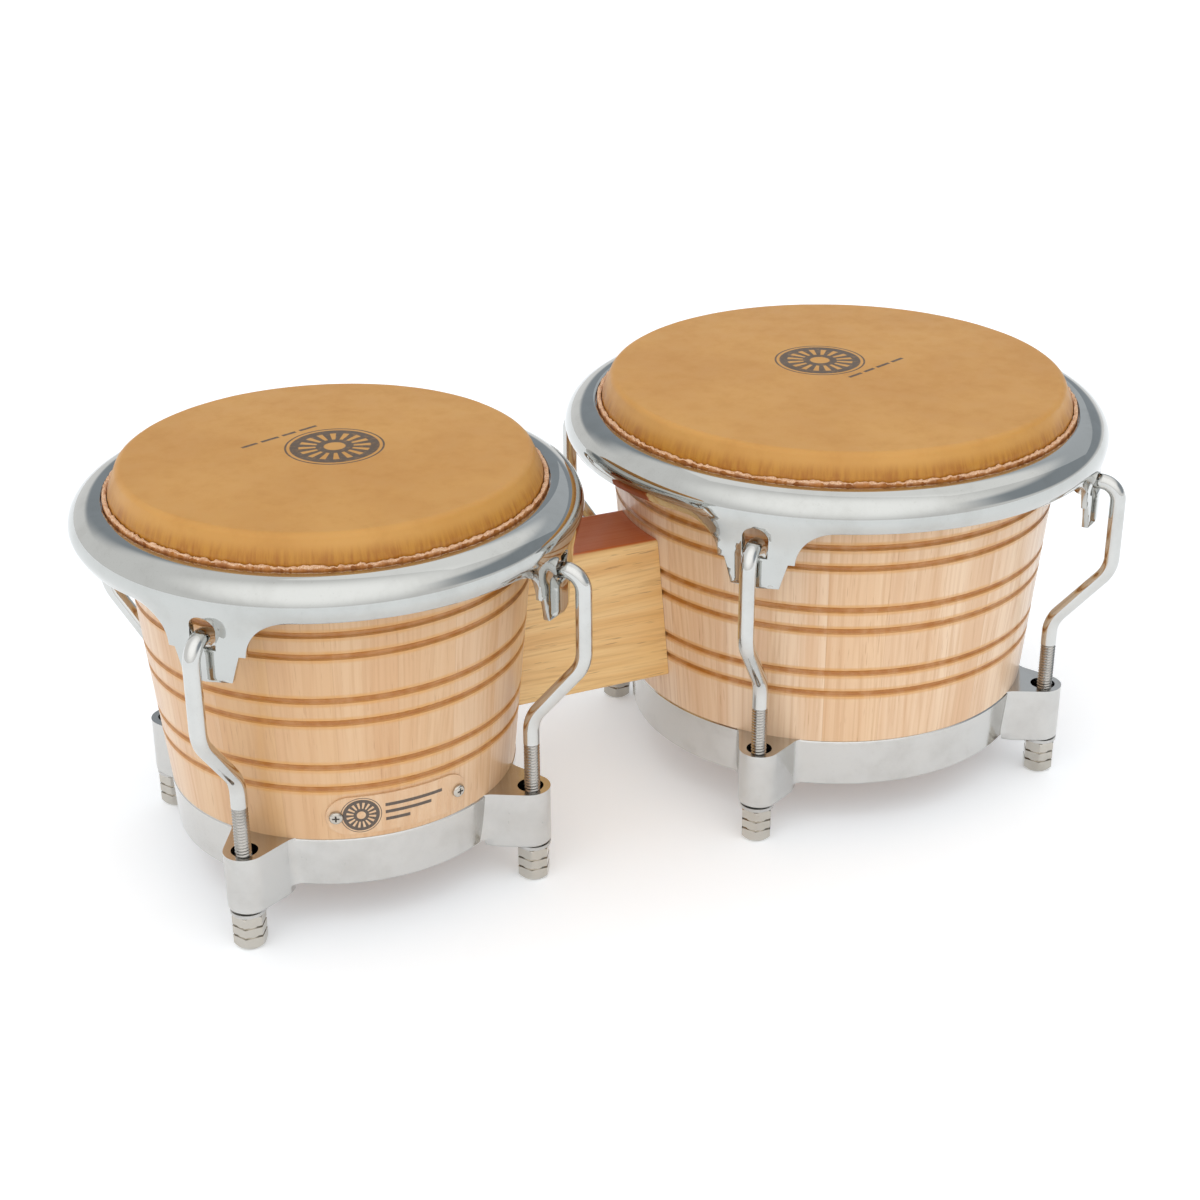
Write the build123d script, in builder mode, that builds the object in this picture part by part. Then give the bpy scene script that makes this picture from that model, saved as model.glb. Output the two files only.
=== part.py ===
"""Bongo drums: two tapered wooden drums joined by a centre block.

Millimetres, +Z up. The drums stand on their eight tuning nuts, the small
drum at -X and the large one at +X, and the origin is on the floor under
the middle of the whole object.
"""
from build123d import *
import math
import os

os.makedirs("parts", exist_ok=True)

# ---- driving dimensions ----------------------------------------------------
axis_spacing = 248.0            # between the two drum axes
rim_overhang = 17.4             # rim's outer roll beyond the skin's side
lug_angles = (45.0, 135.0, 225.0, 315.0)

# skin: the radius of the head's side; foot: outer radius of the shell where
# it enters the bottom ring; turn: the way from the drum to the centre block
drums = {
    "small": {"skin": 92.1, "foot": 77.2, "turn": 1.0},
    "large": {"skin": 109.5, "foot": 95.6, "turn": -1.0},
}

half_length = (
    axis_spacing + sum(d["skin"] + rim_overhang for d in drums.values())
) / 2
drums["small"]["x"] = -half_length + drums["small"]["skin"] + rim_overhang
drums["large"]["x"] = half_length - drums["large"]["skin"] - rim_overhang

# heights above the floor
nut_top = 16.3
washer_bottom = 16.5
ear_bottom = 18.0
ring_bottom = 21.8
ring_top = 45.4
tab_bottom = 132.9
skirt_bottom = 160.5
rim_equator = 166.0             # where the rim's round top meets its wall
rim_top = 177.3
head_top = 190.0

# skin and flesh hoop
skin_thickness = 1.6
skin_knee = 179.5               # height where the leaning side turns upright
skin_lean = 4.2                 # how far the side leans in above the knee
skin_crease = 5.0               # radius over the bearing edge
skin_knee_radius = 8.0
skin_collar_bottom = 168.0
skin_clearance = 0.1            # between the skin and the shell
hoop_gap = 0.5                  # between the skin's collar and the hoop
hoop_width = 5.6
hoop_bottom = 168.6
hoop_top = 174.4
hoop_edge = 1.2

# shell
shell_wall = 10.5
shell_seat = 24.2               # the ledge that the shell stands on
taper_top = 185.4               # height where the taper would meet the skin's inner face
shell_inner_edge = 1.5
groove_heights = (71.0, 81.8, 103.5, 114.3, 135.2, 145.4)
groove_radius = 1.5
groove_depth = 1.2

# bottom ring and its ears
ring_wall = 2.8
ring_taper = 1.1                # the ring's foot is this much smaller
ledge_width = 9.0
ear_nose_radius = 9.3
ear_nose_inset = 1.4            # nose centre inside the lug circle
ear_root_half_width = 14.6       # half width at the ring if the sides ran straight
ear_edge = 2.2
ear_flare = 7.0
ear_bore_radius = 5.75
ear_bore_inset = 0.9
ear_bore_floor = 27.0
ear_seat_radius = 4.4

# tuning hooks
rod_radius = 3.57
thread_core_radius = 3.35
rod_end = 3.5
thread_end = 58.5
hook_offset = 25.0              # upper part outside the lug axis
bend_low = 79.0
bend_high = 109.5
bend_radius = 11.0
hook_radius = 8.5
hook_centre = 143.7
hook_sweep = 166.0              # degrees of the hook's turn

# tuning nuts and washers
nut_across_flats = 13.0
nut_bore_radius = 3.5
nut_edge = 1.0
nut_groove_heights = (6.3, 11.0)
nut_groove_floor = 6.15
nut_groove_half_height = 0.5
nut_countersink = 0.6
washer_radius = 7.7
washer_hole = 3.9

# rim
rim_sheet = 2.6
rim_inner_gap = 2.9             # rim's inner edge outside the skin's side
rim_flat = 2.5                  # width of the level strip at the inner edge
skirt_inset = 2.9               # wall's lower edge inside the equator
tab_side = ((10.9, 132.9), (12.6, 139.0), (14.3, 144.6))  # half width, height
tab_notch_radius = 16.3         # the round way from tab to skirt
tab_notch_centre = (33.5, 144.0)
tab_top_overlap = 2.0
slot_half_width = 5.75
slot_floor = 147.1
slot_top = 160.8
saddle_rise = 1.8
saddle_half_width = 8.2
saddle_crown_half = 5.4
saddle_wall = 1.4
saddle_root = 0.4               # saddle's sides start this far under the tab's face

# centre block and its bolts
block_half_depth = 19.8
block_bottom = 59.6
block_top = 130.2
block_edge = 2.0
block_fit = 0.1
bolt_heights = (78.0, 111.0)
bolt_radius = 3.15
bolt_hole_radius = 3.3
bolt_length = 36.0
bolt_head_flats = 10.0
bolt_head_height = 4.4
bolt_washer_radius = 8.5
bolt_washer_thickness = 1.6
spot_face_radius = 9.6
spot_face_depth = 1.3

# badge on the small drum
badge_height = 57.4
badge_half_length = 31.0
badge_half_width = 9.4
badge_thickness = 0.8
badge_screw_angle = 20.0        # degrees each side of the drum's front
screw_radius = 1.3
screw_hole_radius = 1.4
screw_length = 8.0
screw_head_radius = 3.0
screw_head_height = 1.7


# ---- shared geometry -------------------------------------------------------
def skin_corners(drum, depth, bottom):
    """Corners of the head's outline, a depth inside the skin's outer face.

    They run from the axis over the crease and the knee down to a bottom height.
    """
    turn = math.atan2(head_top - skin_knee, skin_lean)
    crease = drum["skin"] - skin_lean - depth * math.tan(turn / 2)
    knee = skin_knee - depth * math.tan((math.pi / 2 - turn) / 2)
    return (
        (0, head_top - depth),
        (crease, head_top - depth),
        (drum["skin"] - depth, knee),
        (drum["skin"] - depth, bottom),
        (0, bottom),
    )


def profile_plane(drum):
    """The plane through the drum's axis: x is radius, y is height."""
    return Plane(origin=(drum["x"], 0, 0), x_dir=(1, 0, 0), z_dir=(0, -1, 0))


def drum_axis(drum):
    return Axis((drum["x"], 0, 0), (0, 0, 1))


def lug_radius(drum):
    return drum["skin"] - 0.1


def shell_radius(drum, height):
    """Outer radius of the tapered shell at a height."""
    widest = drum["skin"] - skin_thickness
    share = (height - ring_top) / (taper_top - ring_top)
    return drum["foot"] + (widest - drum["foot"]) * share


def shell_tilt(drum):
    """Degrees that the shell's side leans outwards."""
    rise = taper_top - ring_top
    return math.degrees(math.atan2(shell_radius(drum, taper_top) - drum["foot"], rise))


def lug_plane(drum, angle):
    """Upright plane in a lug's radial direction: x is radius, y is height."""
    turn = math.radians(angle)
    return Plane(
        origin=(drum["x"], 0, 0),
        x_dir=(math.cos(turn), math.sin(turn), 0),
        z_dir=(math.sin(turn), -math.cos(turn), 0),
    )


def lug_centre(drum, angle, height=0.0, inset=0.0):
    turn = math.radians(angle)
    reach = lug_radius(drum) - inset
    return (drum["x"] + reach * math.cos(turn), reach * math.sin(turn), height)


def save(name, builder):
    builder.part.label = name
    export_step(builder.part, f"parts/{name}.step")


# ---- wooden shell ----------------------------------------------------------
def make_shell(name, drum):
    top = head_top - skin_thickness
    rebate = drum["foot"] - ring_wall
    with BuildPart() as shell:
        with BuildSketch(profile_plane(drum)):
            with BuildLine():
                Polyline(
                    (rebate - shell_wall + ring_wall, shell_seat),
                    (rebate, shell_seat),
                    (rebate, ring_top),
                    (drum["foot"], ring_top),
                    (shell_radius(drum, top), top),
                    (drum["skin"] - skin_thickness - shell_wall, top),
                    close=True,
                )
            make_face()
        revolve(axis=drum_axis(drum))
        with BuildSketch(profile_plane(drum)):
            with BuildLine():
                Polyline(*skin_corners(drum, skin_thickness + skin_clearance, 0), close=True)
            make_face()
        revolve(axis=drum_axis(drum), mode=Mode.INTERSECT)
        rims = shell.edges().filter_by(GeomType.CIRCLE).group_by(Axis.Z)[-1]
        bearing_round = skin_crease - skin_thickness - skin_clearance
        fillet(rims.sort_by(SortBy.RADIUS)[-1], radius=bearing_round)
        rims = shell.edges().filter_by(GeomType.CIRCLE).group_by(Axis.Z)[-1]
        fillet(rims.sort_by(SortBy.RADIUS)[0], radius=shell_inner_edge)
        with BuildSketch(profile_plane(drum)):
            for height in groove_heights:
                reach = shell_radius(drum, height) + groove_radius - groove_depth
                with Locations((reach, height)):
                    Circle(groove_radius)
        revolve(axis=drum_axis(drum), mode=Mode.SUBTRACT)
        for height in bolt_heights:
            seat_x = bolt_seat_x(drum, height)
            with BuildSketch(bolt_plane(drum, seat_x, height)):
                Circle(bolt_hole_radius)
            extrude(amount=2 * shell_wall, mode=Mode.SUBTRACT)
            with BuildSketch(bolt_plane(drum, seat_x, height)):
                Circle(spot_face_radius)
            extrude(amount=-2 * spot_face_depth, mode=Mode.SUBTRACT)
        if name == "small":
            for angle in badge_screw_angles():
                with BuildSketch(badge_screw_plane(drum, angle, 1.0)):
                    Circle(screw_hole_radius)
                extrude(amount=-screw_length - 2.0, mode=Mode.SUBTRACT)
    save(f"{name}_shell", shell)


# ---- cast bottom ring with four ears ---------------------------------------
def ear_corner(drum, foot):
    """Points of an ear's side: nose tangent, flare start, flare middle, flare end.

    The ear points along +X. Its side touches the round nose, and a concave
    flare leads it into the ring's round outside.
    """
    nose = lug_radius(drum) - ear_nose_inset
    root = foot - ring_wall / 2
    spread = math.hypot(nose - root, ear_root_half_width)
    lean = math.acos(ear_nose_radius / spread)
    touch = math.atan2(ear_root_half_width, root - nose) - lean
    normal = Vector(math.cos(touch), math.sin(touch))
    along = Vector(-math.sin(touch), math.cos(touch))
    tangent = Vector(nose, 0) + normal * ear_nose_radius
    offset = normal.dot(tangent) + ear_flare
    centre = normal * offset - along * math.sqrt((foot + ear_flare) ** 2 - offset**2)
    flare_start = centre - normal * ear_flare
    flare_end = centre * (foot / (foot + ear_flare))
    bisector = (flare_start + flare_end) * 0.5 - centre
    flare_middle = centre + bisector.normalized() * ear_flare
    return tangent, flare_start, flare_middle, flare_end


def make_ring(name, drum):
    top = drum["foot"]
    foot = top - ring_taper
    with BuildPart() as ring:
        with BuildSketch(profile_plane(drum)):
            with BuildLine():
                Polyline(
                    (foot - ledge_width, ring_bottom),
                    (foot - 1.0, ring_bottom),
                    (foot, ring_bottom + 1.0),
                    (top + 0.2, ring_top - 0.8),
                    (top - 0.6, ring_top),
                    (top - ring_wall, ring_top),
                    (top - ring_wall, shell_seat),
                    (foot - ledge_width, shell_seat),
                    close=True,
                )
            make_face()
        revolve(axis=drum_axis(drum))
    root = foot - ring_wall / 2
    nose_tip = lug_radius(drum) - ear_nose_inset + ear_nose_radius
    tangent, flare_start, flare_middle, flare_end = ear_corner(drum, foot)
    inside = flare_end.X - ring_wall
    with BuildSketch() as ear_outline:
        with BuildLine():
            ThreePointArc((tangent.X, -tangent.Y), (nose_tip, 0), tangent)
            Polyline(
                tangent,
                flare_start,
                (root, flare_start.Y),
                (root, -flare_start.Y),
                (flare_start.X, -flare_start.Y),
                (tangent.X, -tangent.Y),
            )
        make_face()
    with BuildSketch() as flare_outline:
        with BuildLine():
            Polyline(flare_end, (inside, flare_end.Y), (inside, 0), (flare_start.X, 0), flare_start)
            ThreePointArc(flare_start, flare_middle, flare_end)
        make_face()
        mirror(about=Plane.XZ)
        Circle(root, mode=Mode.SUBTRACT)
    with BuildPart() as ears:
        with BuildSketch(Plane(origin=(drum["x"], 0, ear_bottom))):
            for angle in lug_angles:
                add(ear_outline.sketch, rotation=angle)
        extrude(amount=ring_top - ear_bottom)
        outside = [
            edge for edge in ears.edges().group_by(Axis.Z)[0]
            if math.dist(tuple(edge.center())[:2], (drum["x"], 0)) > root + 2.0
        ]
        fillet(outside, radius=ear_edge)
        with BuildSketch(Plane(origin=(drum["x"], 0, ring_bottom + 1.0))):
            for angle in lug_angles:
                add(flare_outline.sketch, rotation=angle)
        extrude(amount=ring_top - ring_bottom - 1.0)
    with BuildPart() as casting:
        add(ring.part)
        add(ears.part)
        for angle in lug_angles:
            with Locations(lug_centre(drum, angle, ear_bore_floor, ear_bore_inset)):
                Cylinder(
                    ear_bore_radius,
                    ring_top,
                    align=(Align.CENTER, Align.CENTER, Align.MIN),
                    mode=Mode.SUBTRACT,
                )
            with Locations(lug_centre(drum, angle)):
                Cylinder(
                    ear_seat_radius,
                    ring_top,
                    align=(Align.CENTER, Align.CENTER, Align.MIN),
                    mode=Mode.SUBTRACT,
                )
    save(f"{name}_bottom_ring", casting)


# ---- rawhide skin and flesh hoop -------------------------------------------
def make_skin(name, drum):
    with BuildPart() as skin:
        for depth, mode in ((0.0, Mode.ADD), (skin_thickness, Mode.SUBTRACT)):
            above, crease, knee, below, floor = skin_corners(drum, depth, skin_collar_bottom)
            with BuildSketch(profile_plane(drum)):
                with BuildLine():
                    FilletPolyline(
                        above,
                        crease,
                        knee,
                        below,
                        radius=(skin_crease - depth, skin_knee_radius - depth),
                    )
                    Polyline(below, floor, above)
                make_face()
            revolve(axis=drum_axis(drum), mode=mode)
    save(f"{name}_skin", skin)


def make_hoop(name, drum):
    centre = drum["skin"] + hoop_gap + hoop_width / 2
    with BuildPart() as hoop:
        with BuildSketch(profile_plane(drum)):
            with Locations((centre, (hoop_bottom + hoop_top) / 2)):
                RectangleRounded(hoop_width, hoop_top - hoop_bottom, hoop_edge)
        revolve(axis=drum_axis(drum))
    save(f"{name}_flesh_hoop", hoop)


# ---- pressed rim with four slotted tabs ------------------------------------
def make_tab(drum):
    """One tab in the +X direction of the drum, slot and saddle included."""
    face = drum["skin"] + rim_overhang - skirt_inset
    back = face - rim_sheet
    reach = 14.0
    tab_front = Plane(origin=(drum["x"] + face - reach, 0, 0), x_dir=(0, 1, 0), z_dir=(1, 0, 0))
    turn_x, turn_z = tab_notch_centre
    lean = tab_notch_radius * math.sqrt(0.5)
    with BuildPart() as tab:
        with BuildSketch(tab_front):
            with BuildLine():
                Polyline((0, tab_bottom), *tab_side, (turn_x - tab_notch_radius, turn_z))
                ThreePointArc(
                    (turn_x - tab_notch_radius, turn_z),
                    (turn_x - lean, turn_z + lean),
                    (turn_x, turn_z + tab_notch_radius),
                )
                Polyline(
                    (turn_x, turn_z + tab_notch_radius),
                    (turn_x, skirt_bottom + tab_top_overlap),
                    (0, skirt_bottom + tab_top_overlap),
                    (0, tab_bottom),
                )
            make_face()
            mirror(about=Plane.YZ)
        extrude(amount=2 * reach)
        with BuildSketch(profile_plane(drum)):
            with Locations((face - rim_sheet / 2, (tab_bottom + skirt_bottom) / 2)):
                Rectangle(rim_sheet, 2 * (skirt_bottom - tab_bottom))
        revolve(axis=drum_axis(drum), mode=Mode.INTERSECT)
        with BuildSketch(Plane(origin=(drum["x"], 0, tab_bottom))):
            Polygon(
                (back, saddle_half_width),
                (back, -saddle_half_width),
                (face - saddle_root, -saddle_half_width),
                (face + saddle_rise, -saddle_crown_half),
                (face + saddle_rise, saddle_crown_half),
                (face - saddle_root, saddle_half_width),
                align=None,
            )
        extrude(amount=slot_floor - tab_bottom)
        with BuildSketch(Plane(origin=(drum["x"], 0, tab_bottom))):
            Polygon(
                (back - saddle_rise, saddle_half_width - saddle_wall),
                (back - saddle_rise, saddle_wall - saddle_half_width),
                (back + saddle_rise, saddle_wall - saddle_crown_half),
                (back + saddle_rise, saddle_crown_half - saddle_wall),
                align=None,
            )
        extrude(amount=slot_floor - tab_bottom, mode=Mode.SUBTRACT)
        slot_height = slot_top - slot_floor
        with BuildSketch(tab_front):
            with Locations((0, slot_floor + (slot_height - slot_half_width) / 2)):
                Rectangle(2 * slot_half_width, slot_height - slot_half_width)
            with Locations((0, slot_top - slot_half_width)):
                Circle(slot_half_width)
        extrude(amount=2 * reach, mode=Mode.SUBTRACT)
    return tab


def make_rim(name, drum):
    outer = drum["skin"] + rim_overhang
    inner = drum["skin"] + rim_inner_gap
    start = inner + rim_flat
    with BuildPart() as band:
        with BuildSketch(profile_plane(drum)):
            with BuildLine():
                Line((inner, rim_top), (start, rim_top))
                EllipticalCenterArc(
                    (start, rim_equator),
                    outer - start,
                    rim_top - rim_equator,
                    start_angle=0,
                    arc_size=90,
                )
                Polyline(
                    (outer, rim_equator),
                    (outer - skirt_inset, skirt_bottom),
                    (outer - skirt_inset - rim_sheet, skirt_bottom),
                    (outer - rim_sheet, rim_equator),
                )
                EllipticalCenterArc(
                    (start, rim_equator),
                    outer - start - rim_sheet,
                    rim_top - rim_equator - rim_sheet,
                    start_angle=0,
                    arc_size=90,
                )
                Polyline(
                    (start, rim_top - rim_sheet),
                    (inner, rim_top - rim_sheet),
                    (inner, rim_top),
                )
            make_face()
        revolve(axis=drum_axis(drum))
    tab = make_tab(drum)
    with BuildPart() as rim:
        add(band.part)
        for angle in lug_angles:
            add(tab.part.rotate(drum_axis(drum), angle))
    save(f"{name}_rim", rim)


# ---- hooked tuning rods ----------------------------------------------------
def make_hook(name, drum, number, angle):
    low = lug_radius(drum)
    high = low + hook_offset
    plane = lug_plane(drum, angle)
    turned = math.radians(hook_sweep)
    centre = high - hook_radius
    tip = (
        centre + hook_radius * math.cos(turned),
        hook_centre + hook_radius * math.sin(turned),
    )
    middle = (
        centre + hook_radius * math.cos(turned / 2),
        hook_centre + hook_radius * math.sin(turned / 2),
    )
    with BuildPart() as hook:
        with BuildLine(plane) as path:
            FilletPolyline(
                (low, thread_end),
                (low, bend_low),
                (high, bend_high),
                (high, hook_centre),
                radius=bend_radius,
            )
            ThreePointArc((high, hook_centre), middle, tip)
        with BuildSketch(Plane(origin=lug_centre(drum, angle, thread_end))):
            Circle(rod_radius)
        sweep(path=path.wires()[0])
        with BuildSketch(Plane(origin=lug_centre(drum, angle, rod_end))):
            Circle(thread_core_radius)
        extrude(amount=thread_end - rod_end)
    save(f"{name}_tuning_hook_{number}", hook)


def make_nut(name, drum, number, angle):
    corner = nut_across_flats / math.sqrt(3)
    centre = lug_centre(drum, angle)
    axis = Axis(centre, (0, 0, 1))
    upright = Plane(origin=centre, x_dir=(1, 0, 0), z_dir=(0, -1, 0))
    with BuildPart() as nut:
        with BuildSketch(Plane(origin=centre)):
            RegularPolygon(corner, 6)
        extrude(amount=nut_top)
        with BuildSketch(upright):
            with BuildLine():
                Polyline(
                    (0, 0),
                    (corner - 2 * nut_edge, 0),
                    (corner, 2 * nut_edge),
                    (corner, nut_top - nut_edge),
                    (corner - nut_edge, nut_top),
                    (0, nut_top),
                    close=True,
                )
            make_face()
        revolve(axis=axis, mode=Mode.INTERSECT)
        with BuildSketch(upright):
            for height in nut_groove_heights:
                with Locations((nut_groove_floor + 2.0, height)):
                    Rectangle(4.0, 2 * nut_groove_half_height)
        revolve(axis=axis, mode=Mode.SUBTRACT)
        with BuildSketch(upright):
            with BuildLine():
                Polyline(
                    (0, 0),
                    (nut_bore_radius + nut_countersink, 0),
                    (nut_bore_radius, nut_countersink),
                    (nut_bore_radius, nut_top),
                    (0, nut_top),
                    close=True,
                )
            make_face()
        revolve(axis=axis, mode=Mode.SUBTRACT)
    save(f"{name}_tuning_nut_{number}", nut)


def make_lug_washer(name, drum, number, angle):
    with BuildPart() as washer:
        with BuildSketch(Plane(origin=lug_centre(drum, angle, washer_bottom))):
            Circle(washer_radius)
            Circle(washer_hole, mode=Mode.SUBTRACT)
        extrude(amount=ear_bottom - washer_bottom)
    save(f"{name}_lug_washer_{number}", washer)


# ---- centre block and its bolts --------------------------------------------
def bolt_seat_x(drum, height):
    """Distance from the drum's axis to the bolt's flat seat in the wall."""
    return shell_radius(drum, height) - shell_wall + spot_face_depth


def bolt_plane(drum, reach, height):
    """Plane square to the bolts, facing the centre block."""
    return Plane(
        origin=(drum["x"] + drum["turn"] * reach, 0, height),
        x_dir=(0, 1, 0),
        z_dir=(drum["turn"], 0, 0),
    )


def make_block():
    with BuildPart() as block:
        with BuildSketch(Plane.XY.offset(block_bottom)):
            with Locations(((drums["small"]["x"] + drums["large"]["x"]) / 2, 0)):
                Rectangle(axis_spacing, 2 * block_half_depth)
        extrude(amount=block_top - block_bottom)
        fillet(block.edges().filter_by(Axis.X), radius=block_edge)
        for drum in drums.values():
            with BuildSketch(profile_plane(drum)):
                low = ring_top
                high = taper_top
                with BuildLine():
                    Polyline(
                        (0, low),
                        (shell_radius(drum, low) + block_fit, low),
                        (shell_radius(drum, high) + block_fit, high),
                        (0, high),
                        close=True,
                    )
                make_face()
            revolve(axis=drum_axis(drum), mode=Mode.SUBTRACT)
            for height in bolt_heights:
                with BuildSketch(bolt_plane(drum, bolt_seat_x(drum, height), height)):
                    Circle(bolt_hole_radius)
                extrude(amount=bolt_length + 2.0, mode=Mode.SUBTRACT)
    save("centre_block", block)


def make_block_bolts(name, drum):
    for place, height in zip(("lower", "upper"), bolt_heights):
        seat = bolt_seat_x(drum, height)
        with BuildPart() as washer:
            with BuildSketch(bolt_plane(drum, seat, height)):
                Circle(bolt_washer_radius)
                Circle(bolt_hole_radius, mode=Mode.SUBTRACT)
            extrude(amount=-bolt_washer_thickness)
        save(f"{name}_bolt_washer_{place}", washer)
        with BuildPart() as bolt:
            head = seat - bolt_washer_thickness
            with BuildSketch(bolt_plane(drum, head, height)):
                RegularPolygon(bolt_head_flats / math.sqrt(3), 6)
            extrude(amount=-bolt_head_height)
            with BuildSketch(bolt_plane(drum, head, height)):
                Circle(bolt_radius)
            extrude(amount=bolt_length)
            tip = bolt.faces().sort_by(Axis.X)[-1 if drum["turn"] > 0 else 0]
            chamfer(tip.edges(), length=1.5)
        save(f"{name}_block_bolt_{place}", bolt)


# ---- badge plate and its screws --------------------------------------------
def badge_screw_angles():
    return (-90.0 - badge_screw_angle, -90.0 + badge_screw_angle)


def badge_screw_plane(drum, angle, lift):
    """Plane square to the shell's side at a badge screw, facing outwards."""
    turn = math.radians(angle)
    tilt = math.radians(shell_tilt(drum))
    outward = Vector(
        math.cos(turn) * math.cos(tilt), math.sin(turn) * math.cos(tilt), -math.sin(tilt)
    )
    reach = shell_radius(drum, badge_height)
    foot = Vector(
        drum["x"] + reach * math.cos(turn), reach * math.sin(turn), badge_height
    )
    return Plane(
        origin=foot + outward * lift,
        x_dir=(-math.sin(turn), math.cos(turn), 0),
        z_dir=outward,
    )


def make_badge(drum):
    low = badge_height - 2 * badge_half_width
    high = badge_height + 2 * badge_half_width
    with BuildPart() as badge:
        front = Plane(origin=(drum["x"], 0, 0), x_dir=(1, 0, 0), z_dir=(0, -1, 0))
        with BuildSketch(front.offset(0.5 * drum["foot"])):
            with Locations((0, badge_height)):
                SlotOverall(2 * badge_half_length, 2 * badge_half_width)
        extrude(amount=drum["foot"])
        with BuildSketch(profile_plane(drum)):
            with BuildLine():
                Polyline(
                    (shell_radius(drum, low), low),
                    (shell_radius(drum, low) + badge_thickness, low),
                    (shell_radius(drum, high) + badge_thickness, high),
                    (shell_radius(drum, high), high),
                    close=True,
                )
            make_face()
        revolve(axis=drum_axis(drum), mode=Mode.INTERSECT)
        for angle in badge_screw_angles():
            with BuildSketch(badge_screw_plane(drum, angle, 3.0)):
                Circle(screw_hole_radius)
            extrude(amount=-6.0, mode=Mode.SUBTRACT)
    save("badge_plate", badge)


def make_badge_screws(drum):
    for side, angle in zip(("left", "right"), badge_screw_angles()):
        with BuildPart() as screw:
            with BuildSketch(badge_screw_plane(drum, angle, badge_thickness + 0.15)):
                Circle(screw_head_radius)
            extrude(amount=screw_head_height)
            outer_face = screw.faces().filter_by(GeomType.PLANE).sort_by(Axis.Y)[0]
            fillet(outer_face.edges(), radius=0.8 * screw_head_height)
            with BuildSketch(badge_screw_plane(drum, angle, badge_thickness + 0.15)):
                Circle(screw_radius)
            extrude(amount=-screw_length)
        save(f"badge_screw_{side}", screw)


# ---- build every piece -----------------------------------------------------
for drum_name, drum_data in drums.items():
    make_shell(drum_name, drum_data)
    make_ring(drum_name, drum_data)
    make_skin(drum_name, drum_data)
    make_hoop(drum_name, drum_data)
    make_rim(drum_name, drum_data)
    make_block_bolts(drum_name, drum_data)
    for lug_number, lug_angle in enumerate(lug_angles, start=1):
        make_hook(drum_name, drum_data, lug_number, lug_angle)
        make_nut(drum_name, drum_data, lug_number, lug_angle)
        make_lug_washer(drum_name, drum_data, lug_number, lug_angle)

make_block()
make_badge(drums["small"])
make_badge_screws(drums["small"])
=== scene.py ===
"""Bongo drums: the visible pieces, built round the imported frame.

Metres, +Z up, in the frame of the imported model. The small drum stands at -X
and the large one at +X, and the floor is at zero height.
"""
import math
from types import SimpleNamespace

import bmesh
import bpy
from mathutils import Matrix, Vector
from mathutils.geometry import delaunay_2d_cdt, intersect_point_line


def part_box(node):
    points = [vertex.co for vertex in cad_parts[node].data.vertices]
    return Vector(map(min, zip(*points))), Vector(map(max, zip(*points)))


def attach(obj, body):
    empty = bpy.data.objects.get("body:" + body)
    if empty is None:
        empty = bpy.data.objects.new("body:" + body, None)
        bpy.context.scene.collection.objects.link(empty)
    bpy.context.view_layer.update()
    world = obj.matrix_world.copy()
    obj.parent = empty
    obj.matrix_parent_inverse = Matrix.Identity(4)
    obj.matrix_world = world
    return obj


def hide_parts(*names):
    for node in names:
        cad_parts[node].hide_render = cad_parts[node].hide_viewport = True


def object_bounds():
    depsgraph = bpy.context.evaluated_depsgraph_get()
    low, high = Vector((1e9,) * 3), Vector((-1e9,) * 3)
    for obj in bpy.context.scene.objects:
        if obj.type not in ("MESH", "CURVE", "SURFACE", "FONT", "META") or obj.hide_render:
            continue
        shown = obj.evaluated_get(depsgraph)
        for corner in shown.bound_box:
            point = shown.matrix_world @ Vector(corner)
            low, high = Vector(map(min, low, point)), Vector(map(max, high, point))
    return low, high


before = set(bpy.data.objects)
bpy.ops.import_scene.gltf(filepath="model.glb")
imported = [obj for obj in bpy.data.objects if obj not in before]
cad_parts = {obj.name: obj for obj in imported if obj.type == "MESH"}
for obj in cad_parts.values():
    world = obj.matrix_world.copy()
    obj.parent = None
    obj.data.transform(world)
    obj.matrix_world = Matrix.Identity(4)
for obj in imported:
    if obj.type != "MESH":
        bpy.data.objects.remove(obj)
cad_low, cad_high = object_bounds()

MM = 0.001
TURN = 2 * math.pi

# ---- sizes, in millimetres -------------------------------------------------
SKIN_THICKNESS = 1.6
SKIN_KNEE = 179.5
SKIN_LEAN = 4.2
HEAD_CROWN = 0.35
GROOVE_HEIGHTS = (71.0, 81.8, 103.5, 114.3, 135.2, 145.4)
ROD_RADIUS = 3.57
CORE_RADIUS = 3.0
ROD_END = 3.5
THREAD_TOP = 67.5
THREAD_PITCH = 25.4 / 18
HOOK_OFFSET = 25.0
BEND_LOW = 79.0
BEND_HIGH = 109.5
BEND_RADIUS = 17.0
HOOK_RADIUS = 8.5
HOOK_CENTRE = 143.7
HOOK_SWEEP = 166
BADGE_HEIGHT = 57.4
BADGE_RADIUS = 79.3
SCREW_ANGLE = math.radians(20.0)
RIM_TOP = 177.3
RIM_GAP = 2.9
RIM_FLAT = 2.5
RIM_SHEET = 2.6
RIM_EQUATOR = 166.0
RIM_REACH = 17.4
RIM_COLUMNS = 80
WALL_REACH = 14.5
WALL_BOTTOM = 158.5
SKIRT_BOTTOM = 160.5
TAB_SIDE = ((0.0, 132.9), (10.9, 132.9), (12.6, 139.0), (14.3, 144.6))
NOTCH_CENTRE = (33.5, 144.0)
NOTCH_RADIUS = 16.3
SLOT_HALF = 5.75
SLOT_FLOOR = 147.1
SLOT_TOP = 160.8
SHEET_GRID = 1.3
SHEET_MARGIN = 0.7
SADDLE_RISE = 1.8
SADDLE_HALF = (5.4, 8.2)
SADDLE_FADE = 2.5
TAB_BLEND = (14.0, 34.0)
TAB_DROP = 9.0
LIP_INNER = 0.25
LIP_WIDTH = 2.1
LIP_BOTTOM = 174.6
LIP_TOP = 178.5
FLOOR_HALF = 40.0  # metres


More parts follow.
